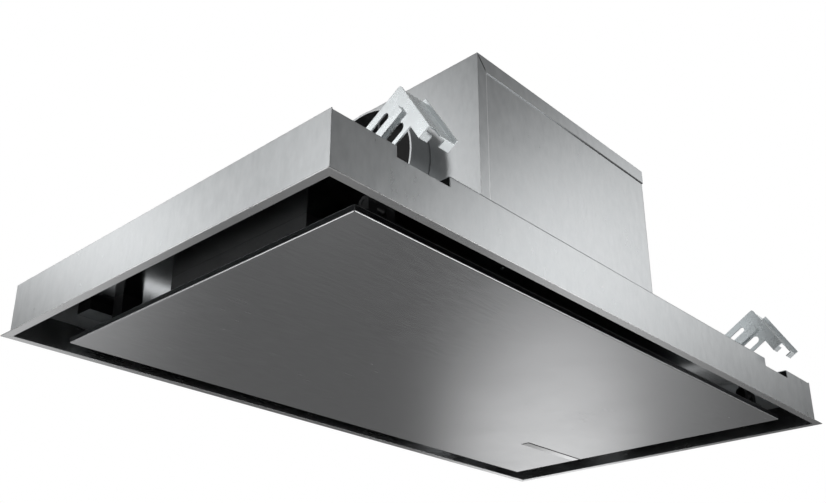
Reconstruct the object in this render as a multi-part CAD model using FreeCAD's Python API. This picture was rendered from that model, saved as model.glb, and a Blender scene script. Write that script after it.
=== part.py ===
import FreeCAD, Part
import math
import os

os.makedirs("parts", exist_ok=True)

# Overall sizes, in millimetres; the origin is the middle of the trim frame's underside
flange_length = 900.0
flange_width = 500.0
overall_height = 299.0

# Trim frame
trim_sheet = 1.0
trim_lip = 9.0
trim_leg_height = 32.0

# Pan
pan_inset = 6.5
pan_height = 58.0
pan_sheet = 1.0
pan_bend = 2.0
end_return = 20.0
air_way_end_inset = 25.0
air_way_side_inset = 5.0
notch_from_end = 105.0
notch_length = 66.0
notch_depth = 11.5
notch_reach = 26.0
pocket_sheet = 1.0

# Suction panel
panel_end_gap = 59.0
panel_side_gap = 34.0
panel_sheet = 1.0
panel_edge = 14.0
panel_fold = 6.0
panel_bend = 1.5
back_inset = 10.0
back_sheet = 0.8
back_rib_sheet = 2.0
back_rib_gap = 20.0
badge_length = 132.0
badge_width = 14.0
badge_depth = 0.5
badge_from_far_edge = 107.0
fit_gap = 0.3

# Panel hinges and catches
hinge_from_end = 46.0
hinge_from_edge = 21.0
hinge_lift = 14.0
hinge_pin_radius = 2.5
hinge_pin_length = 30.0
hinge_eye_radius = 6.0
hinge_eye_length = 10.0
hinge_leaf_length = 44.0
hinge_leaf_width = 20.0
hinge_leaf_sheet = 2.0
running_clearance = 0.05
side_clearance = 0.5
post_foot_length = 26.0
post_foot_width = 22.0
post_foot_sheet = 2.0
catch_length = 24.0
catch_width = 18.0
catch_gap = 4.0
catch_bore_radius = 4.0
catch_bore_depth = 14.0
plunger_length = 11.0
plunger_out = 2.0
striker_length = 20.0
striker_sheet = 2.0
striker_height = 14.0
striker_foot = 12.0

# Filter carrier and grease filters
carrier_from_end = 46.0
carrier_from_side = 111.0
carrier_sheet = 1.2
carrier_gap = 10.0
carrier_ledge = 8.0
filter_count = 2
filter_height = 9.0
filter_border = 12.0
filter_sheet = 1.2
filter_mesh = 5.0
grip_length = 60.0
grip_width = 16.0
grip_sheet = 3.0

# Motor housing
housing_length = 340.0
housing_width = 340.0
housing_sheet = 1.0
corner_return = 15.0
lid_skirt = 17.0
foot_flange = 15.0

# Duct collar and back-draught flaps
duct_radius = 75.0
duct_length = 30.0
duct_wall = 2.5
duct_height = 196.0
collar_margin = 7.0
collar_clearance = 1.0
collar_plate_sheet = 2.0
collar_corner_radius = 10.0
flap_sheet = 1.5
flap_gap = 1.2
flap_depth = 26.0
flap_eye_radius = 3.5
flap_pin_radius = 1.5
flap_eye_length = 24.0

# Blower
fan_x = 20.0
fan_y = 42.0
volute_clearance = 9.8
volute_step = 14.0
scroll_sheet = 1.2
deck_sheet = 1.5
inlet_clearance = 2.0
inlet_ring_height = 16.0
inlet_ring_sheet = 1.5
impeller_clearance = 16.0
impeller_ring = 10.0
impeller_sheet = 2.0
impeller_lift = 11.0
blade_count = 24
blade_sheet = 1.5
blade_lean_angle = 25.0
hub_radius = 14.0
hub_length = 22.0
shaft_radius = 5.0
shaft_length = 48.0
motor_radius = 52.0
motor_length = 46.0
motor_gap = 6.0
motor_sink = 39.2
motor_flange_radius = 72.0
motor_flange_sheet = 2.0
motor_screw_count = 4
motor_screw_start_angle = 45.0

# Swing brackets
bracket_sheet = 1.5
bracket_leg_width = 46.0
bracket_leg_reach = 58.0
bracket_arm_width = 14.0
bracket_arm_length = 76.0
bracket_corner_radius = 3.0
arm_tab_length = 10.0
arm_tab_width = 8.0
bracket_web = 25.0
web_setback = 8.0
web_overhang = 11.5
web_step = 8.0
web_lip = 4.0
foot_length = 12.0
foot_width = 9.0
bracket_tilt_angle = 31.0
slot_inner = -6.0
narrow_slot_width = 7.0
narrow_slot_outer = 34.0
narrow_slot_offset = -11.0
wide_slot_width = 10.0
wide_slot_outer = 40.0
wide_slot_offset = 13.0
rib_width = 9.0
rib_offset = 1.0
rib_height = 3.0
rib_inner = 12.0
rib_outer = 47.0
pivot_from_edge = 61.0
pivot_gap = 4.0
pivot_radius = 4.0
pivot_head_radius = 7.5
pivot_head = 3.0
plate_offset = 12.0
pedestal_sheet = 2.0
pedestal_width = 34.0
pedestal_top = 14.0
pedestal_foot = 24.0

# Control box
control_gap = 55.0
control_length = 150.0
control_width = 110.0
control_height = 46.0
control_wall = 2.0
board_sheet = 1.6
board_margin = 6.0
board_lift = 6.0
terminal_length = 40.0
terminal_width = 18.0
terminal_height = 15.0
gland_radius = 9.0
gland_hole = 4.5
gland_length = 18.0
gland_nut_radius = 12.0
gland_nut = 5.0
gland_height = 22.0

# Fasteners
screw_radius = 2.0
screw_head_radius = 3.8
screw_head = 2.2
screw_length = 6.0
screw_edge = 40.0

# Places as shares of a length
rib_shares = (-0.5, 0.0, 0.5)
eye_share = 0.55

# Worked-out sizes of the trim, the pan and the panel
half_length = flange_length / 2
half_width = flange_width / 2
pan_x = half_length - pan_inset
pan_y = half_width - pan_inset
ceiling = pan_height - pan_sheet
leg_x = half_length - trim_lip
leg_y = half_width - trim_lip
panel_x = half_length - panel_end_gap
panel_y = half_width - panel_side_gap
notch_offset = pan_x - notch_from_end
hinge_offset = panel_x - hinge_from_end
hinge_y = hinge_from_edge - panel_y
hinge_height = panel_edge + hinge_lift
catch_low = panel_edge + catch_gap
plunger_height = panel_edge + striker_height / 2
striker_gap = plunger_out + fit_gap
carrier_x = panel_x - carrier_from_end
carrier_y = panel_y - carrier_from_side
carrier_low = panel_edge + carrier_gap
filter_low = carrier_low + carrier_sheet
pad_low = filter_low + (filter_height - filter_mesh) / 2

# Worked-out sizes of the housing, the blower and the duct
house_x = housing_length / 2
house_y = housing_width / 2
lid_under = overall_height - housing_sheet
air_way_x = house_x - air_way_end_inset
air_way_y = carrier_y - air_way_side_inset
scroll_reach = house_y - 2 * housing_sheet - scroll_sheet - volute_clearance
volute_radius = scroll_reach - volute_step / 2 - fan_y
impeller_radius = volute_radius - impeller_clearance
inlet_radius = impeller_radius - impeller_ring - inlet_clearance
duct_offset = fan_y - volute_radius / 2 - volute_step
duct_low = duct_height - duct_radius - duct_wall
duct_high = duct_height + duct_radius + duct_wall
collar_half = duct_radius + collar_margin
collar_inner_x = housing_sheet + collar_plate_sheet - house_x
duct_mouth_x = -house_x - duct_length
flap_x = duct_mouth_x + flap_depth
deck_top = duct_low - scroll_sheet
scroll_top = duct_high + scroll_sheet
impeller_low = deck_top + impeller_lift
impeller_top = duct_high - motor_sink
motor_low = impeller_top + motor_gap

# Worked-out sizes of the brackets and the control box
pivot_y = pivot_from_edge - half_width
bracket_half = bracket_leg_width / 2
pivot_height = pan_height + bracket_half + pivot_gap
control_low_x = house_x + control_gap
control_high_x = control_low_x + control_length
control_top = pan_height + control_height
X_AXIS = FreeCAD.Vector(1, 0, 0)
Y_AXIS = FreeCAD.Vector(0, 1, 0)
Z_AXIS = FreeCAD.Vector(0, 0, 1)
CENTRE = FreeCAD.Vector(0, 0, 0)


def box(low_x, high_x, low_y, high_y, low_z, high_z):
    corner = FreeCAD.Vector(low_x, low_y, low_z)
    return Part.makeBox(high_x - low_x, high_y - low_y, high_z - low_z, corner)


def rod(radius, length, x, y, z, axis):
    return Part.makeCylinder(radius, length, FreeCAD.Vector(x, y, z), axis)


def turned(shape, angle, centre, axis):
    copy = shape.copy()
    copy.rotate(centre, axis, angle)
    return copy


def other_side(shape):
    return turned(shape, 180, CENTRE, Z_AXIS)


def joined(first, *others):
    return first.fuse(list(others)).removeSplitter()


def prism(points, along):
    wire = Part.makePolygon(points + points[:1])
    return Part.Face(wire).extrude(along)


def rounded(shape, radius, wanted):
    edges = [edge for edge in shape.Edges if wanted(edge)]
    return shape.makeFillet(radius, edges)


def runs_along(edge, axis):
    if edge.Curve.TypeId != "Part::GeomLine":
        return False
    direction = edge.tangentAt(edge.FirstParameter)
    return abs(direction.dot(axis)) > 1 - 1e-6


def upright(edge):
    return runs_along(edge, Z_AXIS)


def near(value, target):
    return abs(value - target) < pan_sheet / 100


def save(name, *shapes):
    solids = []
    for shape in shapes:
        solids.extend(shape.Solids)
    whole = solids[0] if len(solids) == 1 else Part.makeCompound(solids)
    whole.exportStep("parts/" + name + ".step")


def screw(x, y, z, axis, shank):
    head = rod(screw_head_radius, screw_head, x, y, z, axis)
    back = FreeCAD.Vector(axis).multiply(-1)
    return joined(head, rod(screw_radius, shank, x, y, z, back))


def screw_hole(x, y, z, axis, depth):
    start = FreeCAD.Vector(x, y, z) - FreeCAD.Vector(axis).multiply(depth)
    return Part.makeCylinder(screw_radius + running_clearance, 2 * depth, start, axis)


# Trim frame
def trim_long():
    lip = prism(
        [
            FreeCAD.Vector(-half_length, -half_width, 0),
            FreeCAD.Vector(half_length, -half_width, 0),
            FreeCAD.Vector(leg_x, -leg_y, 0),
            FreeCAD.Vector(-leg_x, -leg_y, 0),
        ],
        FreeCAD.Vector(0, 0, trim_sheet),
    )
    leg = box(-leg_x, leg_x, -leg_y - trim_sheet, -leg_y, 0, trim_leg_height)
    piece = joined(lip, leg)
    save("trim_long", piece, other_side(piece))


def trim_short():
    lip = prism(
        [
            FreeCAD.Vector(-half_length, half_width, 0),
            FreeCAD.Vector(-half_length, -half_width, 0),
            FreeCAD.Vector(-leg_x, -leg_y, 0),
            FreeCAD.Vector(-leg_x, leg_y, 0),
        ],
        FreeCAD.Vector(0, 0, trim_sheet),
    )
    leg = box(-leg_x - trim_sheet, -leg_x, -leg_y, leg_y, 0, trim_leg_height)
    piece = joined(lip, leg)
    save("trim_short", piece, other_side(piece))


# Pan
def notch_cut(side_x):
    low_x = side_x * notch_offset - notch_length / 2
    low_z = pan_height - notch_depth
    high_z = pan_height + pan_bend
    return box(low_x, low_x + notch_length, -pan_y - pan_bend, -pan_y + notch_reach, low_z, high_z)


def bent_along(height):
    return lambda edge: runs_along(edge, X_AXIS) and near(edge.CenterOfMass.z, height)


def pan_shell():
    end = pan_x - pan_sheet
    outer = box(-end, end, -pan_y, pan_y, trim_sheet, pan_height)
    outer = rounded(outer, pan_bend, bent_along(pan_height))
    wall = pan_y - pan_sheet
    inner = box(-pan_x, pan_x, -wall, wall, 0, ceiling)
    inner = rounded(inner, pan_bend - pan_sheet, bent_along(ceiling))
    shell = outer.cut(inner)
    for side in (-1, 1):
        shell = shell.cut(notch_cut(side))
        shell = shell.cut(other_side(notch_cut(side)))
    shell = shell.cut(box(-air_way_x, air_way_x, -air_way_y, air_way_y, 0, overall_height))
    for hole in housing_foot_holes() + pedestal_holes() + carrier_holes():
        shell = shell.cut(hole)
    save("pan_shell", shell)


def notch_pocket(side):
    low_x = side * notch_offset - notch_length / 2
    high_x = low_x + notch_length
    low_y = pan_sheet - pan_y
    high_y = notch_reach - pan_y
    low_z = pan_height - notch_depth
    skin = pocket_sheet
    cup = box(low_x - skin, high_x + skin, low_y, high_y + skin, low_z - skin, ceiling)
    return cup.cut(box(low_x, high_x, low_y - skin, high_y, low_z, overall_height))


def notch_pockets():
    cups = []
    for side in (-1, 1):  # each cup closes a notch from inside and is welded under the pan
        cups.extend([notch_pocket(side), other_side(notch_pocket(side))])
    save("notch_pockets", *cups)


def end_walls():
    face = box(-pan_x, -pan_x + pan_sheet, -pan_y, pan_y, trim_sheet, pan_height)
    inside = pan_y - pan_sheet - pan_bend
    fold = box(-pan_x, -pan_x + end_return, -inside, inside, ceiling - pan_sheet, ceiling)
    wall = joined(face, fold)
    save("end_walls", wall, other_side(wall))


# Suction panel
def badge_box(top):
    low_y = panel_y - badge_from_far_edge - badge_width
    return box(panel_x - badge_length, panel_x, low_y, low_y + badge_width, 0, top)


def panel_face():
    outer = box(-panel_x, panel_x, -panel_y, panel_y, 0, panel_fold)
    outer = rounded(outer, panel_bend, lambda edge: near(edge.CenterOfMass.z, 0) or upright(edge))
    x = panel_x - panel_sheet
    y = panel_y - panel_sheet
    inner = box(-x, x, -y, y, panel_sheet, overall_height)
    inner = rounded(inner, panel_bend - panel_sheet, lambda edge: near(edge.CenterOfMass.z, panel_sheet))
    face = outer.cut(inner).cut(badge_box(badge_depth))
    save("panel_face", face)


def panel_badge():
    strip = badge_box(badge_depth)
    strip = strip.common(box(-panel_x, panel_x - panel_bend, -panel_y, panel_y, 0, panel_fold))
    trimmed = strip.copy()
    trimmed.translate(FreeCAD.Vector(fit_gap, fit_gap, 0))
    save("panel_badge", strip.common(trimmed))


def panel_back():
    x = panel_x - back_inset
    y = panel_y - back_inset
    tray = rounded(box(-x, x, -y, y, panel_sheet, panel_edge), panel_bend, upright)
    inner_x = x - back_sheet
    inner_y = y - back_sheet
    hollow = box(-inner_x, inner_x, -inner_y, inner_y, panel_sheet, panel_edge - back_sheet)
    rib_x = x - back_rib_gap
    half = back_rib_sheet / 2
    ribs = []
    for share in rib_shares:
        rib_y = share * panel_y
        ribs.append(box(-rib_x, rib_x, rib_y - half, rib_y + half, panel_sheet, panel_edge))
    save("panel_back", joined(tray.cut(hollow), *ribs))


# Panel hinges and catches
def eye(low_x):
    return rod(hinge_eye_radius, hinge_eye_length, low_x, hinge_y, hinge_height, X_AXIS)


def pin_hole(x):
    radius = hinge_pin_radius + running_clearance
    return rod(radius, 2 * hinge_pin_length, x - hinge_pin_length, hinge_y, hinge_height, X_AXIS)


def hinge_leaf(x):
    foot_x = hinge_leaf_length / 2
    foot_y = hinge_leaf_width / 2
    foot_top = panel_edge + hinge_leaf_sheet
    foot = box(x - foot_x, x + foot_x, hinge_y - foot_y, hinge_y + foot_y, panel_edge, foot_top)
    low_y = hinge_y - hinge_eye_radius
    high_y = hinge_y + hinge_eye_radius
    ears = []
    for side in (-1, 1):
        middle = x + side * (hinge_eye_length + side_clearance)
        low_x = middle - hinge_eye_length / 2
        ears.append(eye(low_x))
        ears.append(box(low_x, low_x + hinge_eye_length, low_y, high_y, panel_edge, hinge_height))
    return joined(foot, *ears).cut(pin_hole(x))


def hinge_post(x):
    low_x = x - hinge_eye_length / 2
    high_x = x + hinge_eye_length / 2
    low_y = hinge_y - hinge_eye_radius
    high_y = hinge_y + hinge_eye_radius
    stem = box(low_x, high_x, low_y, high_y, hinge_height, ceiling)
    foot_x = post_foot_length / 2
    foot_y = post_foot_width / 2
    foot_low = ceiling - post_foot_sheet
    foot = box(x - foot_x, x + foot_x, hinge_y - foot_y, hinge_y + foot_y, foot_low, ceiling)
    return joined(stem, foot, eye(low_x)).cut(pin_hole(x))


def hinges():
    leaves = []
    posts = []
    pins = []
    for side in (-1, 1):
        x = side * hinge_offset
        leaves.append(hinge_leaf(x))
        posts.append(hinge_post(x))
        low_x = x - hinge_pin_length / 2
        pins.append(rod(hinge_pin_radius, hinge_pin_length, low_x, hinge_y, hinge_height, X_AXIS))
    save("hinge_leaves", *leaves)
    save("hinge_posts", *posts)
    save("hinge_pins", *pins)


def catch_body(x):
    y = -hinge_y
    low_x = x - catch_length / 2
    high_x = x + catch_length / 2
    block = box(low_x, high_x, y - catch_width, y, catch_low, ceiling)
    bore = rod(catch_bore_radius, catch_bore_depth, x, y - catch_bore_depth, plunger_height, Y_AXIS)
    return block.cut(bore)


def catch_plunger(x):
    radius = catch_bore_radius - running_clearance
    tip = plunger_out - hinge_y
    nose = rod(radius, plunger_length, x, tip - plunger_length, plunger_height, Y_AXIS)
    return rounded(nose, radius / 2, lambda edge: near(edge.CenterOfMass.y, tip))


def striker(x):
    low_x = x - striker_length / 2
    high_x = x + striker_length / 2
    face = striker_gap - hinge_y
    stop = box(low_x, high_x, face, face + striker_sheet, panel_edge, panel_edge + striker_height)
    foot = box(low_x, high_x, face, face + striker_foot, panel_edge, panel_edge + striker_sheet)
    return joined(stop, foot)


def catches():
    places = [side * hinge_offset for side in (-1, 1)]
    save("catch_bodies", *[catch_body(x) for x in places])
    save("strikers", *[striker(x) for x in places])
    save("plunger_left", catch_plunger(places[0]))
    save("plunger_right", catch_plunger(places[1]))


# Filter carrier and grease filters
def carrier_screw_places():
    x = carrier_x - screw_edge
    y = carrier_y - carrier_ledge
    return [(side * x, way * y) for side in (-1, 1) for way in (-1, 1)]


def carrier_holes():
    return [screw_hole(x, y, pan_height, Z_AXIS, screw_length) for x, y in carrier_screw_places()]


def carrier_ring(low_z, ledge):
    ring = box(-carrier_x, carrier_x, -carrier_y, carrier_y, low_z, low_z + carrier_sheet)
    x = carrier_x - ledge
    y = carrier_y - ledge
    return ring.cut(box(-x, x, -y, y, 0, overall_height))


def filter_carrier():
    tube = box(-carrier_x, carrier_x, -carrier_y, carrier_y, carrier_low, ceiling)
    x = carrier_x - carrier_sheet
    y = carrier_y - carrier_sheet
    tube = tube.cut(box(-x, x, -y, y, 0, overall_height))
    shelf = carrier_ring(carrier_low, carrier_ledge)
    rim = carrier_ring(ceiling - carrier_sheet, 2 * carrier_ledge)
    whole = joined(tube, shelf, rim)
    for hole in carrier_holes():
        whole = whole.cut(hole)
    save("filter_carrier", whole)
    places = carrier_screw_places()
    save("carrier_screws", *[screw(x, y, pan_height, Z_AXIS, screw_length) for x, y in places])


def filter_span(index):
    inside = carrier_x - carrier_sheet
    pitch = 2 * inside / filter_count
    low_x = index * pitch - inside + fit_gap
    high_x = low_x + pitch - 2 * fit_gap
    return low_x, high_x, carrier_y - carrier_sheet - fit_gap


def filter_frame(index):
    low_x, high_x, y = filter_span(index)
    high_z = filter_low + filter_height
    frame = box(low_x, high_x, -y, y, filter_low, high_z)
    in_x = low_x + filter_border
    out_x = high_x - filter_border
    in_y = y - filter_border
    frame = frame.cut(box(in_x, out_x, -in_y, in_y, 0, overall_height))
    wall = filter_sheet
    groove = box(low_x + wall, high_x - wall, wall - y, y - wall, filter_low + wall, high_z - wall)
    return frame.cut(groove)


def filter_pad(index):
    low_x, high_x, y = filter_span(index)
    edge = filter_sheet + fit_gap
    return box(low_x + edge, high_x - edge, edge - y, y - edge, pad_low, pad_low + filter_mesh)


def filter_grip(index):
    low_x, high_x, y = filter_span(index)
    grip_x = (low_x + high_x - grip_length) / 2
    low_y = filter_border - y
    return box(grip_x, grip_x + grip_length, low_y, low_y + grip_width, pad_low - grip_sheet, pad_low)


def filters():
    places = range(filter_count)
    save("filter_frames", *[filter_frame(i) for i in places])
    save("filter_pads", *[filter_pad(i) for i in places])
    save("filter_grips", *[filter_grip(i) for i in places])


# Motor housing
def housing_left():
    x = -house_x
    low = pan_height
    inside = house_y - housing_sheet
    face = box(x, x + housing_sheet, -inside, inside, low, lid_under)
    hole_x = x - housing_sheet / 2
    hole_radius = duct_radius + collar_clearance
    hole = rod(hole_radius, 2 * housing_sheet, hole_x, duct_offset, duct_height, X_AXIS)
    face = face.cut(hole)
    foot_y = house_y - corner_return
    foot = box(x, x + foot_flange, -foot_y, foot_y, low, low + housing_sheet)
    strips = []
    for side in (-1, 1):
        outer = side * house_y
        inner = side * (house_y - housing_sheet)
        points = [
            FreeCAD.Vector(x, outer, low),
            FreeCAD.Vector(x + corner_return, outer, low),
            FreeCAD.Vector(x + corner_return, outer, lid_under - lid_skirt),
            FreeCAD.Vector(x, outer, lid_under),
        ]
        strips.append(prism(points, FreeCAD.Vector(0, inner - outer, 0)))
    whole = joined(face, foot, *strips)
    for hole in housing_foot_holes():
        whole = whole.cut(hole)
    save("housing_left", whole)


def housing_long(side):
    outer = side * (house_y - housing_sheet)
    inner = side * (house_y - 2 * housing_sheet)
    low_y = min(outer, inner)
    x = house_x - housing_sheet
    face = box(-x, x, low_y, low_y + housing_sheet, pan_height, lid_under)
    deep = side * (house_y - foot_flange)
    foot = box(
        -x + foot_flange,
        x - foot_flange,
        min(outer, deep),
        max(outer, deep),
        pan_height,
        pan_height + housing_sheet,
    )
    whole = joined(face, foot)
    for x, y in housing_foot_places():
        whole = whole.cut(screw_hole(x, y, pan_height, Z_AXIS, screw_length))
    return whole


def housing_right():
    x = house_x
    y = house_y - housing_sheet
    foot_y = y - housing_sheet
    face = box(x - housing_sheet, x, -y, y, pan_height, lid_under)
    foot = box(x - foot_flange, x, -foot_y, foot_y, pan_height, pan_height + housing_sheet)
    whole = joined(face, foot)
    for hole in housing_foot_holes():
        whole = whole.cut(hole)
    save("housing_right", whole)


def housing_lid():
    top = box(-house_x, house_x + housing_sheet, -house_y, house_y, lid_under, overall_height)
    low = lid_under - lid_skirt
    skirts = []
    for side in (-1, 1):
        outer = side * house_y
        inner = side * (house_y - housing_sheet)
        points = [
            FreeCAD.Vector(-house_x, outer, lid_under),
            FreeCAD.Vector(-house_x + corner_return, outer, low),
            FreeCAD.Vector(house_x, outer, low),
            FreeCAD.Vector(house_x, outer, lid_under),
        ]
        skirts.append(prism(points, FreeCAD.Vector(0, inner - outer, 0)))
    end = box(house_x, house_x + housing_sheet, -house_y, house_y, low, lid_under)
    save("housing_lid", joined(top, end, *skirts))


def housing_foot_places():
    inset = foot_flange / 2
    places = []
    for side in (-1, 1):
        for way in (-1, 1):
            places.append((side * (house_x - inset), way * (house_y - screw_edge)))
            places.append((side * (house_x - screw_edge), way * (house_y - inset)))
    return places


def housing_foot_holes():
    return [screw_hole(x, y, pan_height, Z_AXIS, screw_length) for x, y in housing_foot_places()]


def housing_screws():
    top = pan_height + housing_sheet
    shank = housing_sheet + pan_sheet
    save("housing_screws", *[screw(x, y, top, Z_AXIS, shank) for x, y in housing_foot_places()])


# Duct collar and back-draught flaps
def duct_collar():
    length = collar_inner_x - duct_mouth_x
    tube = rod(duct_radius, length, duct_mouth_x, duct_offset, duct_height, X_AXIS)
    plate = box(
        collar_inner_x - collar_plate_sheet,
        collar_inner_x,
        duct_offset - collar_half,
        duct_offset + collar_half,
        duct_height - collar_half,
        duct_height + collar_half,
    )
    plate = rounded(plate, collar_corner_radius, lambda edge: runs_along(edge, X_AXIS))
    bore = rod(duct_radius - duct_wall, length, duct_mouth_x, duct_offset, duct_height, X_AXIS)
    return joined(tube, plate).cut(bore)


def flap_pin():
    reach = duct_radius - duct_wall / 2
    return rod(flap_pin_radius, 2 * reach, flap_x, duct_offset, duct_height - reach, Z_AXIS)


def collar_and_pin():
    save("duct_collar", duct_collar().cut(flap_pin()))
    save("flap_pin", flap_pin())


def flap_eye(side, grow):
    length = flap_eye_length + 2 * grow
    middle = duct_height + side * eye_share * duct_radius
    return rod(flap_eye_radius + grow, length, flap_x, duct_offset, middle - length / 2, Z_AXIS)


def flap(side):
    radius = duct_radius - duct_wall - flap_gap
    disc = rod(radius, flap_sheet, flap_x - flap_sheet / 2, duct_offset, duct_height, X_AXIS)
    start = duct_offset + side * (flap_pin_radius + flap_gap)
    end = duct_offset + side * (duct_radius + duct_wall)
    low_x = flap_x - flap_sheet
    high_x = flap_x + flap_sheet
    half = box(low_x, high_x, min(start, end), max(start, end), duct_low, duct_high)
    wing = joined(disc.common(half), flap_eye(side, 0))
    hole_radius = flap_pin_radius + running_clearance
    hole = rod(hole_radius, 2 * duct_radius, flap_x, duct_offset, duct_low, Z_AXIS)
    return wing.cut(hole).cut(flap_eye(-side, fit_gap))


# Blower
def volute_face(grow, z):
    first = volute_radius + grow
    second = first + volute_step
    third = second + volute_step
    shift = volute_step / 2
    one = FreeCAD.Vector(fan_x + shift, fan_y + shift, z)
    two = one - FreeCAD.Vector(0, volute_step, 0)
    three = two - FreeCAD.Vector(volute_step, 0, 0)
    start = one + FreeCAD.Vector(-first, 0, 0)
    end = three + FreeCAD.Vector(0, -third, 0)
    edges = []
    turn = math.sqrt(0.5)
    corners = [
        (one, first, (-1, 0), (-turn, turn), (0, 1)),
        (two, second, (0, 1), (turn, turn), (1, 0)),
        (three, third, (1, 0), (turn, -turn), (0, -1)),
    ]
    for middle, radius, begin, half_way, finish in corners:
        points = []
        for a, b in (begin, half_way, finish):
            points.append(middle + FreeCAD.Vector(a * radius, b * radius, 0))
        edges.append(Part.Arc(*points).toShape())
    tongue = FreeCAD.Vector(collar_inner_x, start.y, z)
    outlet = FreeCAD.Vector(collar_inner_x, end.y, z)
    edges.append(Part.makeLine(end, outlet))
    edges.append(Part.makeLine(outlet, tongue))
    edges.append(Part.makeLine(tongue, start))
    return Part.Face(Part.Wire(edges))


def scroll_case():
    outer = volute_face(scroll_sheet, deck_top).extrude(FreeCAD.Vector(0, 0, scroll_top - deck_top))
    inner = volute_face(0, deck_top).extrude(FreeCAD.Vector(0, 0, duct_high - deck_top))
    hole_low = scroll_top - 3 * scroll_sheet / 2
    hole = rod(motor_radius + fit_gap, 2 * scroll_sheet, fan_x, fan_y, hole_low, Z_AXIS)
    case = outer.cut(inner).cut(hole)
    for place in motor_screw_places():
        case = case.cut(screw_hole(place.x, place.y, scroll_top, Z_AXIS, screw_length))
    save("scroll_case", case)


def blower_deck():
    x = house_x - housing_sheet - fit_gap
    y = house_y - 2 * housing_sheet
    start = collar_plate_sheet - x
    plate = box(start, x, -y, y, deck_top - deck_sheet, deck_top)
    hole_low = deck_top - 2 * deck_sheet
    plate = plate.cut(rod(inlet_radius, 3 * deck_sheet, fan_x, fan_y, hole_low, Z_AXIS))
    folds = []
    for side in (-1, 1):  # the folds are welded to the near and far sheets
        low_y = min(side * y, side * (y - deck_sheet))
        folds.append(box(start, x, low_y, low_y + deck_sheet, deck_top - foot_flange, deck_top))
    save("blower_deck", joined(plate, *folds))


def inlet_ring():
    low = deck_top - deck_sheet
    outer = inlet_radius - fit_gap
    points = [
        FreeCAD.Vector(outer - inlet_ring_sheet, 0, low),
        FreeCAD.Vector(outer, 0, low),
        FreeCAD.Vector(outer, 0, deck_top),
        FreeCAD.Vector(outer - inlet_ring_sheet, 0, low + inlet_ring_height),
        FreeCAD.Vector(outer - 2 * inlet_ring_sheet, 0, low + inlet_ring_height),
    ]
    face = Part.Face(Part.makePolygon(points + points[:1]))
    ring = face.revolve(CENTRE, Z_AXIS, 360)
    flange = rod(inlet_radius + foot_flange, deck_sheet, 0, 0, low - deck_sheet, Z_AXIS)
    flange = flange.cut(rod(outer - inlet_ring_sheet, deck_sheet, 0, 0, low - deck_sheet, Z_AXIS))
    whole = joined(ring, flange)
    whole.translate(FreeCAD.Vector(fan_x, fan_y, 0))
    save("inlet_ring", whole)


def blade(index):
    inner = impeller_radius - impeller_ring
    long = impeller_ring - impeller_sheet / 2
    low = impeller_low
    strip = box(inner, inner + long, -blade_sheet / 2, blade_sheet / 2, low, impeller_top)
    strip = turned(strip, blade_lean_angle, FreeCAD.Vector(inner + long / 2, 0, 0), Z_AXIS)
    return turned(strip, 360 * index / blade_count, CENTRE, Z_AXIS)


def impeller():
    ring_inner = impeller_radius - impeller_ring
    ring = rod(impeller_radius, impeller_sheet, 0, 0, impeller_low, Z_AXIS)
    ring = ring.cut(rod(ring_inner, impeller_sheet, 0, 0, impeller_low, Z_AXIS))
    disc = rod(impeller_radius, impeller_sheet, 0, 0, impeller_top - impeller_sheet, Z_AXIS)
    hub = rod(hub_radius, hub_length, 0, 0, impeller_top - hub_length, Z_AXIS)
    blades = [blade(i) for i in range(blade_count)]
    wheel = joined(ring, disc, hub, *blades)
    wheel = wheel.cut(rod(shaft_radius, impeller_top - impeller_low, 0, 0, impeller_low, Z_AXIS))
    wheel.translate(FreeCAD.Vector(fan_x, fan_y, 0))
    save("impeller", wheel)
    shaft_low = impeller_top - hub_length
    save("fan_shaft", rod(shaft_radius, shaft_length, fan_x, fan_y, shaft_low, Z_AXIS))


def motor_screw_places():
    circle = (motor_radius + motor_flange_radius) / 2
    places = []
    for index in range(motor_screw_count):
        angle = math.radians(motor_screw_start_angle + 360 * index / motor_screw_count)
        x = fan_x + circle * math.cos(angle)
        y = fan_y + circle * math.sin(angle)
        places.append(FreeCAD.Vector(x, y, 0))
    return places


def motor():
    body = rod(motor_radius, motor_length, fan_x, fan_y, motor_low, Z_AXIS)
    flange = rod(motor_flange_radius, motor_flange_sheet, fan_x, fan_y, scroll_top, Z_AXIS)
    bore_radius = shaft_radius + running_clearance
    bore = rod(bore_radius, motor_length - motor_gap, fan_x, fan_y, motor_low, Z_AXIS)
    whole = joined(body, flange).cut(bore)
    for place in motor_screw_places():
        whole = whole.cut(screw_hole(place.x, place.y, scroll_top, Z_AXIS, screw_length))
    save("motor", whole)
    top = scroll_top + motor_flange_sheet
    shank = motor_flange_sheet + scroll_sheet
    save("motor_screws", *[screw(p.x, p.y, top, Z_AXIS, shank) for p in motor_screw_places()])


# Swing brackets, drawn flat: first number along the leg from the pivot, second towards the foot
def flat(x, along, across):
    return FreeCAD.Vector(x, -along, -across)


def plate(x, thick, low_a, high_a, low_b, high_b):
    return box(x, x + thick, -high_a, -low_a, -high_b, -low_b)


def slot_cut(width, outer, across):
    radius = width / 2
    deep = 3 * bracket_sheet
    low = slot_inner + radius
    high = outer - radius
    cut = plate(-bracket_sheet, deep, low, high, across - radius, across + radius)
    ends = []
    for along in (low, high):
        start = flat(-bracket_sheet, along, across)
        ends.append(Part.makeCylinder(radius, deep, start, X_AXIS))
    return joined(cut, *ends)


def at_bracket_corner(edge):
    corner = flat(0, bracket_leg_reach, -bracket_half)
    place = edge.CenterOfMass
    return runs_along(edge, X_AXIS) and near(place.y, corner.y) and near(place.z, corner.z)


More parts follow.
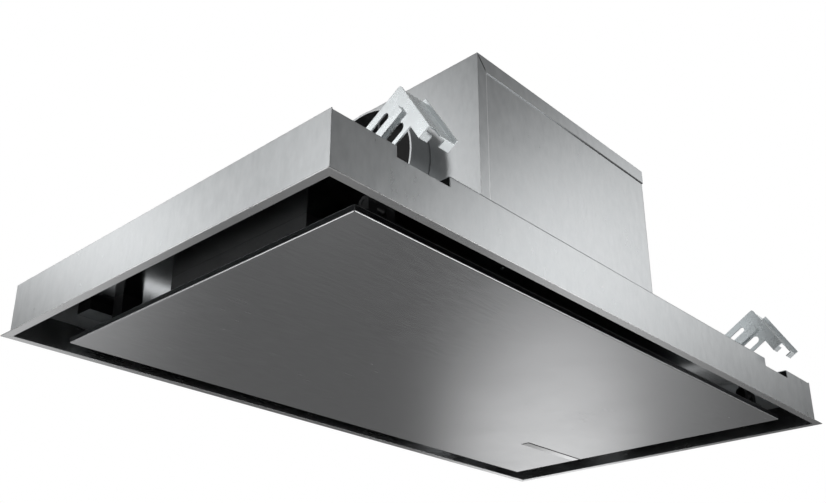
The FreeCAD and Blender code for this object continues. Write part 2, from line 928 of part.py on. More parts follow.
def bracket_web_plates(arm_end, web_end):
    start = web_setback - bracket_half
    low = bracket_leg_reach - bracket_sheet
    high = bracket_leg_reach + web_lip
    lip_x = bracket_web - bracket_sheet
    foot_x = bracket_web - foot_length
    foot_low = bracket_leg_reach - foot_width
    return [
        plate(0, bracket_web, low, bracket_leg_reach, start, arm_end),
        plate(web_step, bracket_web - web_step, low, bracket_leg_reach, start, web_end),
        plate(lip_x, bracket_sheet, low, high, start, web_end),
        plate(foot_x, foot_length, foot_low, bracket_leg_reach, web_end - bracket_sheet, web_end),
    ]


def bracket_flat():
    half = bracket_half
    arm_low = bracket_leg_reach - bracket_arm_width
    web_end = bracket_arm_length - half
    arm_end = web_end - web_overhang
    leg = plate(0, bracket_sheet, 0, bracket_leg_reach, -half, half)
    end = Part.makeCylinder(half, bracket_sheet, CENTRE, X_AXIS)
    arm = plate(0, bracket_sheet, arm_low, bracket_leg_reach, -half, arm_end)
    face = rounded(joined(leg, end, arm), bracket_corner_radius, at_bracket_corner)
    tab = plate(0, arm_tab_length, arm_low, arm_low + arm_tab_width, arm_end - bracket_sheet, arm_end)
    rib_low = rib_offset - rib_width / 2
    rib = plate(-rib_height, rib_height, rib_inner, rib_outer, rib_low, rib_low + rib_width)
    whole = joined(face, tab, rib, *bracket_web_plates(arm_end, web_end))
    whole = whole.cut(slot_cut(narrow_slot_width, narrow_slot_outer, narrow_slot_offset))
    whole = whole.cut(slot_cut(wide_slot_width, wide_slot_outer, wide_slot_offset))
    deep = 3 * bracket_sheet
    pivot = rod(pivot_radius + running_clearance, deep, -bracket_sheet, 0, 0, X_AXIS)
    return whole.cut(pivot)


def bracket_x(side):
    return side * notch_offset - plate_offset


def near_bracket(side):
    shape = turned(bracket_flat(), -bracket_tilt_angle, CENTRE, X_AXIS)
    shape.translate(FreeCAD.Vector(bracket_x(side), pivot_y, pivot_height))
    return shape


def pedestal(side):
    low_x = bracket_x(side) + bracket_sheet + side_clearance
    high_x = low_x + pedestal_sheet
    low_y = pivot_y - pedestal_width / 2
    high_y = pivot_y + pedestal_width / 2
    foot_top = pan_height + pedestal_sheet
    post = box(low_x, high_x, low_y, high_y, pan_height, pivot_height + pedestal_top)
    foot = box(low_x, low_x + pedestal_foot, low_y, high_y, pan_height, foot_top)
    bore = rod(pivot_radius, pedestal_sheet, low_x, pivot_y, pivot_height, X_AXIS)
    whole = joined(post, foot).cut(bore)
    for hole in pedestal_pair_holes(side):
        whole = whole.cut(hole)
    return whole


def pedestal_screw_places(side):
    x = bracket_x(side) + bracket_sheet + side_clearance + (pedestal_sheet + pedestal_foot) / 2
    reach = pedestal_width / 2 - 2 * screw_head_radius
    return [(x, pivot_y - reach), (x, pivot_y + reach)]


def pedestal_pair_holes(side):
    places = pedestal_screw_places(side)
    return [screw_hole(x, y, pan_height, Z_AXIS, screw_length) for x, y in places]


def pedestal_holes():
    holes = []
    for side in (-1, 1):
        for hole in pedestal_pair_holes(side):
            holes.append(hole)
            holes.append(other_side(hole))
    return holes


def pivot_screw(side):
    x = bracket_x(side)
    length = bracket_sheet + side_clearance + pedestal_sheet
    shank = rod(pivot_radius, length, x, pivot_y, pivot_height, X_AXIS)
    head_x = x - side_clearance / 2
    head = rod(pivot_head_radius, pivot_head, head_x - pivot_head, pivot_y, pivot_height, X_AXIS)
    neck = rod(pivot_radius, side_clearance, head_x, pivot_y, pivot_height, X_AXIS)
    return joined(shank, neck, head)


def brackets():
    names = {-1: "left", 1: "right"}
    supports = []
    pivots = []
    rivets = []
    top = pan_height + pedestal_sheet
    for side in (-1, 1):
        shape = near_bracket(side)
        save("bracket_near_" + names[side], shape)
        save("bracket_far_" + names[-side], other_side(shape))
        supports.extend([pedestal(side), other_side(pedestal(side))])
        pivots.extend([pivot_screw(side), other_side(pivot_screw(side))])
        for x, y in pedestal_screw_places(side):
            fastener = screw(x, y, top, Z_AXIS, pedestal_sheet + pan_sheet)
            rivets.extend([fastener, other_side(fastener)])
    save("pedestals", *supports)
    save("pivot_screws", *pivots)
    save("pedestal_rivets", *rivets)


# Control box
def control_block(inset, low_z, high_z):
    y = control_width / 2 - inset
    return box(control_low_x + inset, control_high_x - inset, -y, y, low_z, high_z)


def control_box():
    wall = control_wall
    tray = control_block(0, pan_height, control_top)
    tray = tray.cut(control_block(wall, pan_height + wall, control_top))
    hole_x = control_high_x - 2 * wall
    hole_z = pan_height + gland_height
    hole = rod(gland_radius + running_clearance, 3 * wall, hole_x, 0, hole_z, X_AXIS)
    save("control_box", tray.cut(hole))
    cover = control_block(0, control_top, control_top + wall)
    lip = control_block(wall + fit_gap, control_top - wall, control_top)
    save("control_cover", joined(cover, lip))


def control_parts():
    low_x = control_low_x + control_wall + board_margin
    high_x = control_high_x - control_wall - 2 * gland_length
    half = control_width / 2 - control_wall - board_margin
    floor = pan_height + control_wall
    board_low = floor + board_lift
    board_top = board_low + board_sheet
    board = box(low_x, high_x, -half, half, board_low, board_top)
    pillars = []
    for x in (low_x + board_margin, high_x - board_margin):
        for y in (board_margin - half, half - board_margin):
            pillars.append(rod(screw_radius, board_lift, x, y, floor, Z_AXIS))
    save("control_board", joined(board, *pillars))
    reach = terminal_length / 2
    block_x = high_x - terminal_width
    save("terminal_block", box(block_x, high_x, -reach, reach, board_top, board_top + terminal_height))


def cable_gland():
    z = pan_height + gland_height
    inside_x = control_high_x - control_wall - gland_nut
    barrel = rod(gland_radius, gland_length, inside_x, 0, z, X_AXIS)
    nut = rod(gland_nut_radius, gland_nut, control_high_x, 0, z, X_AXIS)
    inside_nut = rod(gland_nut_radius, gland_nut, inside_x, 0, z, X_AXIS)
    hole = rod(gland_hole, 2 * gland_length, control_high_x - gland_length, 0, z, X_AXIS)
    save("cable_gland", joined(barrel, nut, inside_nut).cut(hole))


def build():
    trim_long()
    trim_short()
    pan_shell()
    notch_pockets()
    end_walls()
    panel_face()
    panel_badge()
    panel_back()
    hinges()
    catches()
    filter_carrier()
    filters()
    housing_left()
    save("housing_near", housing_long(-1))
    save("housing_far", housing_long(1))
    housing_right()
    housing_lid()
    housing_screws()
    collar_and_pin()
    save("flap_near", flap(-1))
    save("flap_far", flap(1))
    blower_deck()
    inlet_ring()
    scroll_case()
    impeller()
    motor()
    brackets()
    control_box()
    control_parts()
    cable_gland()


build()
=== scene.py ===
import math
import bmesh
import bpy
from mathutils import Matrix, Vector


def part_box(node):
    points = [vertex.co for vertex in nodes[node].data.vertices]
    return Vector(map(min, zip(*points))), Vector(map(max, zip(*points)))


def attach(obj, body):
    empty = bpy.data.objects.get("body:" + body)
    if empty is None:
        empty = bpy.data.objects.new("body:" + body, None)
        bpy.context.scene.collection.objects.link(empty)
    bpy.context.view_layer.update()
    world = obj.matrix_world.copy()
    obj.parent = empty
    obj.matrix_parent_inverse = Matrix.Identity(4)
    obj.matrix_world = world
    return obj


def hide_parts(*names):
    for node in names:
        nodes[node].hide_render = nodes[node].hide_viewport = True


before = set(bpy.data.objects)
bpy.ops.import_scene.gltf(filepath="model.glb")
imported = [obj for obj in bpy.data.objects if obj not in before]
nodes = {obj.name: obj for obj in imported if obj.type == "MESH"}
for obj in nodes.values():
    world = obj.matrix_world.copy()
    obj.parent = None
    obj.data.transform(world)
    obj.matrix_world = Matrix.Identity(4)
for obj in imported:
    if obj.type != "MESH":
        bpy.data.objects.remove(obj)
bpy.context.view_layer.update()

print("frame loaded:", len(nodes), "parts")

noiseMean = 0.5  # what a noise gives on average
bevelSamples = 4


class Wire:  # a socket that takes part in sums; each sum adds a Math node
    def __init__(self, graph, socket):
        self.graph = graph
        self.socket = socket

    def __add__(self, other):
        return self.graph.maths("ADD", self, other)

    def __sub__(self, other):
        return self.graph.maths("SUBTRACT", self, other)

    def __rsub__(self, other):
        return self.graph.maths("SUBTRACT", other, self)

    def __mul__(self, other):
        return self.graph.maths("MULTIPLY", self, other)

    __radd__ = __add__
    __rmul__ = __mul__


class Graph:  # a node tree, of a material or of the world
    def __init__(self, tree):
        self.tree = tree

    def plug(self, value, socket):
        if isinstance(value, Wire):
            self.tree.links.new(value.socket, socket)
        else:
            socket.default_value = value

    def node(self, kind, settings=None, sockets=None, out=0):
        made = self.tree.nodes.new(kind)
        for key, value in (settings or {}).items():
            setattr(made, key, value)
        for key, value in (sockets or {}).items():
            self.plug(value, made.inputs[key])
        return Wire(self, made.outputs[out]) if made.outputs else made

    def maths(self, operation, first, second=0.0):
        return self.node("ShaderNodeMath", {"operation": operation}, {0: first, 1: second})


class Finish(Graph):  # one material, with the nodes that most finishes share
    def __init__(self, name):
        self.material = bpy.data.materials.new(name)
        self.material.use_nodes = True
        super().__init__(self.material.node_tree)
        self.shader = self.tree.nodes["Principled BSDF"]
        self.place = self.node("ShaderNodeTexCoord", out="Object")

    def set(self, values):
        for key, value in values.items():
            self.plug(value, self.shader.inputs[key])

    def noise(self, wave):  # the size counts waves in a metre: one number, or one for each axis
        where = self.place
        scale = wave["size"]
        if isinstance(scale, tuple):
            where = self.node("ShaderNodeMapping", {}, {"Vector": self.place, "Scale": scale})
            scale = 1
        sockets = {"Vector": where, "Scale": scale, "Detail": wave["detail"], "Roughness": wave["rough"]}
        return self.node("ShaderNodeTexNoise", {}, sockets)

    def blend(self, share, first, second):
        ends = [end if isinstance(end, Wire) else (*end, 1) for end in (first, second)]
        sockets = {0: share, 6: ends[0], 7: ends[1]}
        return self.node("ShaderNodeMix", {"data_type": "RGBA", "clamp_factor": True}, sockets, out=2)

    def step(self, value, low, high):  # 0 at low and before it, 1 at high and past it
        sockets = {"Value": value, "From Min": low, "From Max": high}
        return self.node("ShaderNodeMapRange", {"interpolation_type": "SMOOTHSTEP"}, sockets)

    def axis(self, index):  # 0, 1, 2 for how far along x, y, z
        return self.node("ShaderNodeSeparateXYZ", {}, {0: self.place}, out=index)

    def near(self, value, middle, reach, core=0.6):  # 1 in the core of the reach, 0 beyond the reach
        return self.step(self.maths("ABSOLUTE", value - middle), reach, reach * core)

    def within(self, reach):  # 1 inside a box round the origin, 0 outside
        share = 1.0
        for index, far in enumerate(reach):
            share = share * self.maths("LESS_THAN", self.maths("ABSOLUTE", self.axis(index)), far)
        return share

    def relief(self, height, bump):  # over softened edges, where the bump names an edge
        sockets = {"Height": height, "Strength": bump["strength"], "Distance": bump["depth"]}
        if "edge" in bump:
            radius = {"Radius": bump["edge"]}
            sockets["Normal"] = self.node("ShaderNodeBevel", {"samples": bevelSamples}, radius)
        self.set({"Normal": self.node("ShaderNodeBump", {}, sockets)})


def sway(noise, amount):  # a noise as a change to both sides of nothing
    return (noise - noiseMean) * amount


# galvanised sheet of the pan, the motor housing and the blower
galvanised = {
    "dark": (0.48, 0.498, 0.508), "light": (0.685, 0.702, 0.71),
    "roughness": 0.29, "gloss": 0.04, "tintShift": 0.40,
    "streak": {"size": (240, 240, 75), "detail": 1, "rough": 0.5, "tint": 0.3},  # up and down the sheet
    "mottle": {"size": (105, 105, 60), "detail": 2, "rough": 0.5, "tint": 0.75},
    "grain": {"size": 700, "detail": 2, "rough": 0.6, "tint": 0.08},
    "cloud": {"size": 9, "detail": 4, "rough": 0.6, "tint": 0.6},
    "bump": {"strength": 0.05, "depth": 0.0002, "edge": 0.0005},
    "inner": (0.4428, 0.2428, 0.0572), "ceiling": 0.0556, "dull": 0.3, "clean": 0.45,
}

# folds and seams of the motor housing, as painted highlight and painted shade, in the same finish
housingPaintedLight = {
    "sheet": 0.001, "return": 0.015, "returnEnd": 0.0135,
    # colour of the painted shade, and its reach in the open mitre
    "shade": (0.05, 0.05, 0.052), "mitre": 0.0018,
    # painted shadow line under the lip: its reach, its strength and where along the lid it begins
    "lip": 0.0016, "lipShade": 0.75, "lipTurn": (0.10, 0.24),
    # reach and colour of the painted shade that tones down the lip's lower face
    "lipFace": 0.0004, "lipPaintedDim": (0.36, 0.367, 0.372),
    # reach and colour of the painted highlight on the fold
    "fold": 0.0012, "paintedHighlight": (0.92, 0.93, 0.94),
}


def lidPaintedShade(finish):  # the lip's lower face, toned down as painted shade, and the painted shade along the lip and in the mitre at its left
    look = housingPaintedLight
    low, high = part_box("housing_lid")
    drop = high.z - look["sheet"] - finish.axis(2)
    along = finish.axis(0) - low.x
    skirt = high.z - look["sheet"] - low.z
    past = finish.step(along, look["returnEnd"], look["return"])
    shade = finish.step(along, *look["lipTurn"])
    lip = finish.near(drop, skirt, look["lip"]) * shade * look["lipShade"]
    face = finish.near(drop, skirt, look["lipFace"]) * past
    mitre = finish.near(drop - along * (skirt / look["return"]), 0.0, look["mitre"])
    corner = finish.near(along, look["return"] / 2, look["return"] / 2)
    return face, finish.maths("MAXIMUM", lip, mitre * corner)


def foldPaintedHighlight(finish):  # painted highlight on the folded edge where the left sheet laps the long sheets
    look = housingPaintedLight
    low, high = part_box("housing_left")
    lidLow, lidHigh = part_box("housing_lid")
    top = high.z - lidHigh.z + lidLow.z
    height = finish.axis(2)
    edge = finish.near(finish.axis(0), low.x + look["return"], look["fold"])
    above = finish.step(height, low.z, low.z + look["fold"])
    below = finish.step(height, top, top - look["fold"])
    return edge * above * below


def galvanisedFinish(name):
    look = galvanised
    finish = Finish(name)
    inside = finish.within(look["inner"])  # dull inside the pan, but for its clean ceiling
    ceiling = inside * finish.step(finish.axis(2), look["ceiling"], look["inner"][2])
    waves = {key: finish.noise(look[key]) for key in ("streak", "mottle", "grain", "cloud")}
    spangle = -look["tintShift"]
    for key, wave in waves.items():
        spangle = spangle + wave * look[key]["tint"]
    lipFace, paintedSeamShade = lidPaintedShade(finish)
    sheet = finish.blend(spangle, look["dark"], look["light"])
    # painted highlight along the fold of the left sheet
    sheet = finish.blend(foldPaintedHighlight(finish), sheet, housingPaintedLight["paintedHighlight"])
    # painted shade: the lip's lower face takes a darker tone to dim its highlight
    sheet = finish.blend(lipFace, sheet, housingPaintedLight["lipPaintedDim"])
    gloss = look["roughness"]
    for key in ("cloud", "mottle", "streak"):
        gloss = gloss + sway(waves[key], look["gloss"])
    finish.set({
        # painted shade under the lid's lip and in its open mitre
        "Base Color": finish.blend(paintedSeamShade, sheet, housingPaintedLight["shade"]),
        "Metallic": 1.0,
        "Roughness": gloss + inside * look["dull"] - ceiling * look["clean"],
    })
    finish.relief(waves["cloud"], look["bump"])
    return finish.material


# small pockets behind the notches: sheet where they look down, black as painted shade elsewhere
notchPocketShade = {
    "black": (0.004, 0.004, 0.0045), "roughness": 0.2, "dull": 0.5, "gloss": 0.1, "shine": 0.2,
    "cloudTint": 0.6, "grainTint": 0.4, "lookDown": (-0.3, -0.6),
    "bump": {"strength": 0.02, "depth": 0.0002, "edge": 0.0004},
}


def pocketFinish(name):
    look = notchPocketShade
    finish = Finish(name)
    cloud = finish.noise(galvanised["cloud"])
    grain = finish.noise(galvanised["grain"])
    tint = cloud * look["cloudTint"] + grain * look["grainTint"]
    sheet = finish.blend(tint, galvanised["dark"], galvanised["light"])
    facing = finish.node("ShaderNodeNewGeometry", out="Normal")
    upward = finish.node("ShaderNodeSeparateXYZ", {}, {0: facing}, out=2)
    outer = finish.step(upward, *look["lookDown"])
    finish.set({
        # painted shade: black on every face that does not look down
        "Base Color": finish.blend(outer, look["black"], sheet),
        "Metallic": outer,
        "Roughness": look["roughness"] + (1 - outer) * look["dull"] + sway(cloud, look["gloss"]),
        "Specular IOR Level": look["shine"],
    })
    finish.relief(grain, look["bump"])
    return finish.material


# brushed stainless suction panel, grain along the long side
panelSteel = {
    "dark": (0.38, 0.384, 0.391), "light": (0.53, 0.536, 0.544), "roughness": 0.25,
    "fine": {"size": (40, 1500, 1500), "detail": 2, "rough": 0.6, "tint": 0.35},
    "coarse": {"size": (34, 320, 320), "detail": 2, "rough": 0.5, "tint": 0.65},
    "smudge": {"size": 7, "detail": 4, "rough": 0.6},
    "brushGloss": 0.10, "smudgeGloss": 0.06,
    "bump": {"strength": 0.01, "depth": 0.0002, "edge": 0.0006},
}


def panelFinish(name):
    look = panelSteel
    finish = Finish(name)
    fine = finish.noise(look["fine"])
    coarse = finish.noise(look["coarse"])
    smudge = finish.noise(look["smudge"])
    brush = fine * look["fine"]["tint"] + coarse * look["coarse"]["tint"]
    gloss = sway(brush, look["brushGloss"]) + sway(smudge, look["smudgeGloss"])
    finish.set({
        "Base Color": finish.blend(brush, look["dark"], look["light"]),
        "Metallic": 1.0,
        "Roughness": look["roughness"] + gloss,
    })
    finish.relief(coarse, look["bump"])
    return finish.material


# bare polished strip let into the panel, with a painted shadow line along two of its edges and painted
# shade towards its inner end
badgeSteel = {
    # the dark tone is the painted shade at the inner end
    "dark": (0.03, 0.031, 0.032), "light": (0.44, 0.445, 0.452), "roughness": 0.16,
    "fine": {"size": (1500, 25, 1500), "detail": 2, "rough": 0.6, "tint": 0.3},
    "smudge": {"size": 40, "detail": 3, "rough": 0.6, "tint": 0.2, "gloss": 0.1},
    "paintedShadowLine": (0.006, 0.006, 0.0065), "lineWidth": 0.003, "lineRough": 0.6,
    "bump": {"strength": 0.06, "depth": 0.0002},
}


def badgeFinish(name):
    look = badgeSteel
    finish = Finish(name)
    low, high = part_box("panel_badge")
    paintedShadeFade = finish.step(finish.axis(0), low.x, high.x)  # painted shade, darker towards its inner end
    fine = finish.noise(look["fine"])
    smudge = finish.noise(look["smudge"])
    # painted shadow line along one long edge and along the inner end
    longEdge = finish.near(finish.axis(1), low.y, look["lineWidth"])
    innerEdge = finish.near(finish.axis(0), low.x, look["lineWidth"])
    paintedShadowLine = finish.maths("MAXIMUM", longEdge, innerEdge)
    tint = paintedShadeFade + sway(fine, look["fine"]["tint"]) + sway(smudge, look["smudge"]["tint"])
    polish = finish.blend(tint, look["dark"], look["light"])
    gloss = sway(smudge, look["smudge"]["gloss"])
    finish.set({
        "Base Color": finish.blend(paintedShadowLine, polish, look["paintedShadowLine"]),
        "Metallic": 1 - paintedShadowLine,
        "Roughness": look["roughness"] + gloss + paintedShadowLine * look["lineRough"],
    })
    finish.relief(fine, look["bump"])
    return finish.material


# green board with copper tracks under its lacquer
circuitBoard = {
    "lacquer": (0.012, 0.09, 0.035), "track": (0.03, 0.17, 0.07),
    "pitch": 260, "joint": 0.06, "tones": {"Color1": 1.0, "Color2": 0.6, "Mortar": 0.0},
    "wander": {"size": 60, "detail": 3, "rough": 0.5}, "runShare": 0.25, "cut": (0.55, 0.68),
    "roughness": 0.34, "trackGloss": 0.1, "coat": 0.4, "trackCoat": 0.2,
    "bump": {"strength": 0.3, "depth": 0.0003},
}


def boardFinish(name):
    look = circuitBoard
    finish = Finish(name)
    sockets = {key: (tone, tone, tone, 1) for key, tone in look["tones"].items()}
    sockets.update({"Vector": finish.place, "Scale": look["pitch"], "Mortar Size": look["joint"]})
    bricks = finish.node("ShaderNodeTexBrick", {}, sockets)
    runs = finish.node("ShaderNodeRGBToBW", {}, {0: bricks})
    mask = finish.step(finish.noise(look["wander"]) + runs * look["runShare"], *look["cut"])
    finish.set({
        "Base Color": finish.blend(mask, look["lacquer"], look["track"]),
        "Roughness": look["roughness"] - mask * look["trackGloss"],
        "Coat Weight": look["coat"] + mask * look["trackCoat"],
    })
    finish.relief(mask, look["bump"])
    return finish.material


# finishes of one recipe: two noises change the tint and the gloss, and the raised one also stands out
plainFinishes = {
    "trim_stainless": {  # satin trim frame
        "dark": (0.57, 0.575, 0.58), "light": (0.72, 0.725, 0.73),
        "roughness": 0.26, "metal": 1.0, "shine": 0.5,
        "raised": {"size": (60, 60, 900), "detail": 2, "rough": 0.6, "tint": 0.6, "gloss": 0.06},
        "flat": {"size": 14, "detail": 4, "rough": 0.6, "tint": 0.4, "gloss": 0.10},
        "bump": {"strength": 0.05, "depth": 0.0002, "edge": 0.0004},
    },
    "zinc_plate": {  # brackets, pedestals and fasteners, slightly blue
        "dark": (0.82, 0.87, 0.89), "light": (0.94, 0.98, 0.99),
        "roughness": 0.28, "metal": 0.84, "shine": 0.5,
        "raised": {"size": 60, "detail": 4, "rough": 0.65, "tint": 0.9, "gloss": 0.12},
        "flat": {"size": 900, "detail": 2, "rough": 0.6, "tint": 0.1, "gloss": 0.04},
        "bump": {"strength": 0.03, "depth": 0.0002, "edge": 0.0007},
    },
    "bright_steel": {  # turned pin and shaft
        "dark": (0.50, 0.50, 0.51), "light": (0.66, 0.66, 0.67),
        "roughness": 0.2, "metal": 1.0, "shine": 0.5,
        "raised": {"size": (1600, 200, 200), "detail": 2, "rough": 0.5, "tint": 0.6, "gloss": 0.0},
        "flat": {"size": 90, "detail": 3, "rough": 0.6, "tint": 0.4, "gloss": 0.12},
        "bump": {"strength": 0.06, "depth": 0.0002, "edge": 0.0003},
    },
    "black_paint": {  # filter carrier and hinges
        "dark": (0.006, 0.006, 0.0065), "light": (0.014, 0.014, 0.015),
        "roughness": 0.36, "metal": 0.0, "shine": 0.26,
        "raised": {"size": 700, "detail": 2, "rough": 0.5, "tint": 0.0, "gloss": 0.16},
        "flat": {"size": 24, "detail": 4, "rough": 0.65, "tint": 1.0, "gloss": 0.12},
        "bump": {"strength": 0.16, "depth": 0.0003, "edge": 0.0004},
    },
    "motor_casting": {  # cast body of the motor
        "dark": (0.20, 0.20, 0.205), "light": (0.34, 0.34, 0.345),
        "roughness": 0.5, "metal": 0.85, "shine": 0.5,
        "raised": {"size": 420, "detail": 4, "rough": 0.7, "tint": 0.5, "gloss": 0.25},
        "flat": {"size": 22, "detail": 3, "rough": 0.6, "tint": 0.5, "gloss": 0.0},
        "bump": {"strength": 0.4, "depth": 0.0004, "edge": 0.0006},
    },
    "filter_aluminium": {  # rolled frames and mesh of the grease filters
        "dark": (0.56, 0.565, 0.57), "light": (0.76, 0.765, 0.77),
        "roughness": 0.3, "metal": 1.0, "shine": 0.5,
        "raised": {"size": (40, 1200, 900), "detail": 2, "rough": 0.6, "tint": 0.4, "gloss": 0.0},
        "flat": {"size": 30, "detail": 4, "rough": 0.65, "tint": 0.6, "gloss": 0.2},
        "bump": {"strength": 0.08, "depth": 0.0002, "edge": 0.0004},
    },
}

# moulded plastics, all with fine grain and faint flow marks
moulding = {
    "metal": 0.0,
    "raised": {"size": 1300, "detail": 2, "rough": 0.6, "tint": 0.3, "gloss": 0.2},
    "flat": {"size": (20, 20, 55), "detail": 4, "rough": 0.6, "tint": 0.7, "gloss": 0.08},
    "bump": {"strength": 0.22, "depth": 0.0002, "edge": 0.0005},
}
plastics = {
    "black_plastic": {
        "dark": (0.006, 0.006, 0.0065), "light": (0.014, 0.014, 0.015),
        "roughness": 0.46, "shine": 0.3,
    },
    "control_plastic": {
        "dark": (0.54, 0.54, 0.525), "light": (0.64, 0.64, 0.625),
        "roughness": 0.5, "shine": 0.5,
    },
    "nylon": {
        "dark": (0.62, 0.60, 0.54), "light": (0.76, 0.74, 0.68),
        "roughness": 0.42, "shine": 0.5,
    },
    "terminal_plastic": {
        "dark": (0.60, 0.59, 0.55), "light": (0.72, 0.71, 0.67),
        "roughness": 0.48, "shine": 0.5,
    },
    "gland_plastic": {
        "dark": (0.018, 0.018, 0.019), "light": (0.034, 0.034, 0.035),
        "roughness": 0.5, "shine": 0.5,
    },
}


def plainFinish(name):
    look = {**moulding, **plastics[name]} if name in plastics else plainFinishes[name]
    finish = Finish(name)
    raised = finish.noise(look["raised"])
    flat = finish.noise(look["flat"])
    tint = raised * look["raised"]["tint"] + flat * look["flat"]["tint"]
    gloss = sway(raised, look["raised"]["gloss"]) + sway(flat, look["flat"]["gloss"])
    finish.set({
        "Base Color": finish.blend(tint, look["dark"], look["light"]),
        "Metallic": look["metal"],
        "Roughness": look["roughness"] + gloss,
        "Specular IOR Level": look["shine"],
    })
    finish.relief(raised, look["bump"])
    return finish.material


# which part takes which finish
finishOf = {
    "galvanised_sheet": ["pan_shell", "end_walls", "housing_left", "housing_near", "housing_far",
                         "housing_right", "housing_lid", "blower_deck", "scroll_case",
                         "duct_collar", "panel_back"],
    "trim_stainless": ["trim_long", "trim_short"],
    "brushed_stainless": ["panel_face"],
    "badge_strip": ["panel_badge"],
    "zinc_plate": ["bracket_near_left", "bracket_near_right", "bracket_far_left",
                   "bracket_far_right", "pedestals", "pivot_screws", "pedestal_rivets",
                   "housing_screws", "carrier_screws", "motor_screws", "strikers"],
    "bright_steel": ["flap_pin", "fan_shaft"],
    "black_paint": ["filter_carrier", "hinge_posts", "hinge_leaves", "hinge_pins"],
    "notch_pocket": ["notch_pockets"],
    "black_plastic": ["flap_near", "flap_far", "filter_grips", "catch_bodies", "impeller",
                      "inlet_ring"],
    "control_plastic": ["control_box", "control_cover"],
    "nylon": ["plunger_left", "plunger_right"],
    "terminal_plastic": ["terminal_block"],
    "gland_plastic": ["cable_gland"],
    "motor_casting": ["motor"],
    "filter_aluminium": ["filter_frames", "filter_pads"],
    "circuit_board": ["control_board"],
}

# finishes with a recipe of their own; the others are plain
ownRecipes = {
    "galvanised_sheet": galvanisedFinish,
    "brushed_stainless": panelFinish,
    "badge_strip": badgeFinish,
    "notch_pocket": pocketFinish,
    "circuit_board": boardFinish,
}


def dressParts():
    finishes = {}
    for finishName, names in finishOf.items():
        finishes[finishName] = ownRecipes.get(finishName, plainFinish)(finishName)
        for name in names:
            slots = nodes[name].data.materials
            slots.clear()
            slots.append(finishes[finishName])
    return finishes


finishes = dressParts()
print("finishes on", sum(len(names) for names in finishOf.values()), "parts")


# expanded aluminium mesh of the grease filters, three layers in each frame
filterMesh = {
    "gap": 0.0036, "thick": 0.0003, "strand": 0.0007, "twist": 0.0005,
    "layers": [
        {"lift": 0.0006, "pitchX": 0.0075, "pitchY": 0.0042, "shift": 0.0},
        {"lift": 0.0022, "pitchX": 0.0085, "pitchY": 0.0048, "shift": 0.0021},
        {"lift": 0.0040, "pitchX": 0.0075, "pitchY": 0.0042, "shift": 0.0033},
    ],
}


def meshLayer(bm, lowX, highX, lowY, highY, z, layer):
    half = filterMesh["strand"] / 2
    twist = filterMesh["twist"] / 2
    stepX = layer["pitchX"] / 2
    swing = layer["pitchY"] / 2 - half
    rows = int((highY - lowY) / layer["pitchY"])
    count = int((highX - lowX - layer["shift"]) / stepX)
    for row in range(rows):
        middle = lowY + (row + 0.5) * layer["pitchY"]
        previous = None
        for index in range(count + 1):
            x = lowX + layer["shift"] + index * stepX
            y = middle + (swing if (index + row) % 2 else -swing)
            low = bm.verts.new((x, y - half, z - twist))
            high = bm.verts.new((x, y + half, z + twist))
            if previous:
                bm.faces.new((previous[0], low, high, previous[1]))
            previous = (low, high)


def placeMesh(bm, name):  # a new object from the mesh that was built
    data = bpy.data.meshes.new(name)
    bm.to_mesh(data)
    bm.free()
    piece = bpy.data.objects.new(name, data)
    bpy.context.scene.collection.objects.link(piece)
    return piece


def buildFilterMesh():
    low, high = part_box("filter_pads")
    bm = bmesh.new()
    halfGap = filterMesh["gap"] / 2
    for startX, endX in ((low.x, -halfGap), (halfGap, high.x)):
        for layer in filterMesh["layers"]:
            meshLayer(bm, startX, endX, low.y, high.y, low.z + layer["lift"], layer)
    piece = placeMesh(bm, "grease_filter_mesh")
    thicken = piece.modifiers.new("thickness", "SOLIDIFY")
    thicken.thickness = filterMesh["thick"]
    thicken.offset = 0
    piece.data.materials.append(finishes["filter_aluminium"])
    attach(piece, "hood")
    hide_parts("filter_pads")


buildFilterMesh()
print("filter mesh built")


# pale floor well below the hood
paleFloor = {
    "height": -1.25, "size": 24.0, "squares": 24,
    "colour": (0.80, 0.80, 0.80), "worn": (0.776, 0.776, 0.776),
    "roughness": 0.7, "wear": {"size": 1.5, "detail": 3, "rough": 0.5, "gloss": 0.1},
}


def buildFloor():
    look = paleFloor
    squares = look["squares"]
    bm = bmesh.new()
    bmesh.ops.create_grid(bm, x_segments=squares, y_segments=squares, size=look["size"] / 2)
    floor = placeMesh(bm, "floor")
    floor.location.z = look["height"]
    finish = Finish("floor_pale")
    wear = finish.noise(look["wear"])
    finish.set({
        "Base Color": finish.blend(wear, look["worn"], look["colour"]),
        "Roughness": look["roughness"] + sway(wear, look["wear"]["gloss"]),
    })
    floor.data.materials.append(finish.material)
    floor.visible_glossy = False  # the steel shows the studio, not the floor


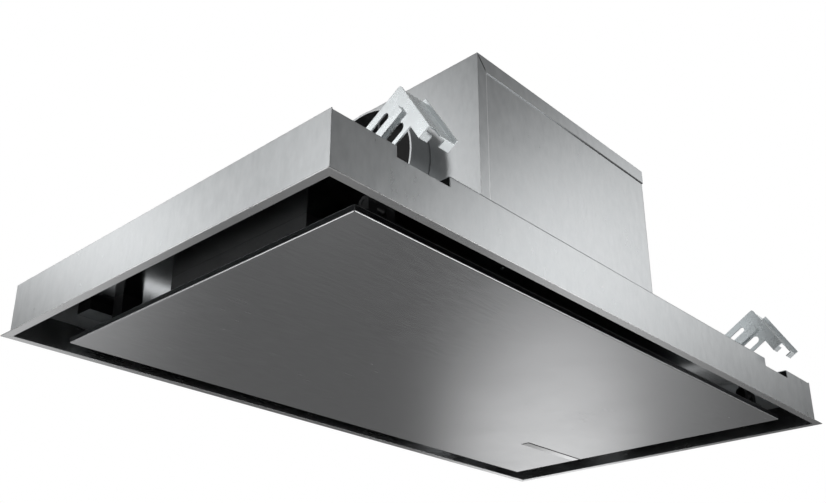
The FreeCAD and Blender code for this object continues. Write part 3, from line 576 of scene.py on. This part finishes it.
# studio round the object: soft boxes by direction, in degrees round from +X and up;
# a box is full within its core and gone past its reach, in degrees too
studio = {"colour": (1, 1, 1, 1), "seen": 1.0, "walls": 0.165}
softBoxes = {
    "left": {"round": 137.2, "up": 29.5, "core": 3, "reach": 7.6, "power": 2.45},
    "leftFar": {"round": 118.9, "up": 25.8, "core": 1, "reach": 7, "power": 2.75},
    "right": {"round": -33.8, "up": 24.2, "core": 1, "reach": 10.2, "power": 1.92},
    "rightLow": {"round": -21.8, "up": 20.4, "core": 1, "reach": 4, "power": 0.71},
    "overNear": {"round": -48, "up": 11, "core": 2, "reach": 9, "power": 0.9},
    "underHigh": {"round": 35.2, "up": -14.2, "core": 1, "reach": 7.5, "power": 1.3},
    "underNear": {"round": 48.1, "up": -33.6, "core": 2, "reach": 7.1, "power": 0.21},
    "underLow": {"round": 30.6, "up": -21, "core": 1, "reach": 8.1, "power": 0.46},
    "underLeft": {"round": 72.1, "up": -26.1, "core": 2, "reach": 16.2, "power": 0.7},
    "rimRight": {"round": -32, "up": -36, "core": 2, "reach": 18, "power": 3.0},
    "rimLeft": {"round": 124, "up": -40, "core": 2, "reach": 20, "power": 3.0},
    "gap": {"round": -58, "up": -23, "core": 3, "reach": 16, "power": 2.2},
    "front": {"round": -90, "up": -4, "core": 4, "reach": 32, "power": 0.5},
    "frontLeft": {"round": -138, "up": -18, "core": 4, "reach": 36, "power": 0.55},
    "end": {"round": 2, "up": -6, "core": 3, "reach": 18, "power": 0.5},
    "endHigh": {"round": 23, "up": 22, "core": 4, "reach": 24, "power": 1.2},
    "back": {"round": 72, "up": 18, "core": 4, "reach": 30, "power": 0.6},
    "above": {"round": 0, "up": 90, "core": 6, "reach": 40, "power": 0.7},
}


def heading(around, up):
    turn = math.radians(around)
    rise = math.radians(up)
    flat = math.cos(rise)
    return Vector((math.cos(turn) * flat, math.sin(turn) * flat, math.sin(rise)))


def boxGlow(graph, way, box):  # 1 towards the box, 0 away from it
    sockets = {0: way, 1: heading(box["round"], box["up"])}
    facing = graph.node("ShaderNodeVectorMath", {"operation": "DOT_PRODUCT"}, sockets, out="Value")
    edge = math.cos(math.radians(box["reach"]))
    full = math.cos(math.radians(box["core"]))
    sockets = {"Value": facing, "From Min": edge, "From Max": full}
    return graph.node("ShaderNodeMapRange", {"interpolation_type": "SMOOTHERSTEP"}, sockets)


def buildWorld():
    world = bpy.data.worlds.new("studio")
    world.use_nodes = True
    world.node_tree.nodes.clear()
    graph = Graph(world.node_tree)
    way = graph.node("ShaderNodeTexCoord", out="Generated")
    light = studio["walls"]
    for box in softBoxes.values():
        light = light + boxGlow(graph, way, box) * box["power"]
    seen = graph.node("ShaderNodeLightPath", out="Is Camera Ray")
    strength = light * (1 - seen) + seen * studio["seen"]
    sky = graph.node("ShaderNodeBackground", {}, {"Color": studio["colour"], "Strength": strength})
    graph.node("ShaderNodeOutputWorld", {}, {"Surface": sky})
    bpy.context.scene.world = world


# even light from straight above that washes the floor and keeps the shadow soft
wash = {"power": 2.3, "spread": 70}


def buildWash():
    data = bpy.data.lights.new("wash", "SUN")
    data.energy = wash["power"]
    data.angle = math.radians(wash["spread"])
    lamp = bpy.data.objects.new("wash", data)
    lamp.visible_camera = False
    lamp.visible_glossy = False
    bpy.context.scene.collection.objects.link(lamp)


# camera of the photograph, tilted up at the hood
view = {
    "place": (-0.873, -0.7225, -0.378), "round": 42.62, "up": 22.36,
    "sensor": 36, "lens": 43.6, "shiftY": 0.08,
}


def buildCamera():
    data = bpy.data.cameras.new("camera")
    data.sensor_width = view["sensor"]
    data.lens = view["lens"]
    data.shift_y = view["shiftY"]
    camera = bpy.data.objects.new("camera", data)
    camera.location = view["place"]
    quarter = math.pi / 2
    turn = math.radians(view["round"])
    camera.rotation_euler = (quarter + math.radians(view["up"]), 0, turn - quarter)
    bpy.context.scene.collection.objects.link(camera)
    bpy.context.scene.camera = camera


buildFloor()
buildWorld()
buildWash()
buildCamera()
bpy.context.scene.view_settings.view_transform = "Standard"
print("stage, lights and camera set")
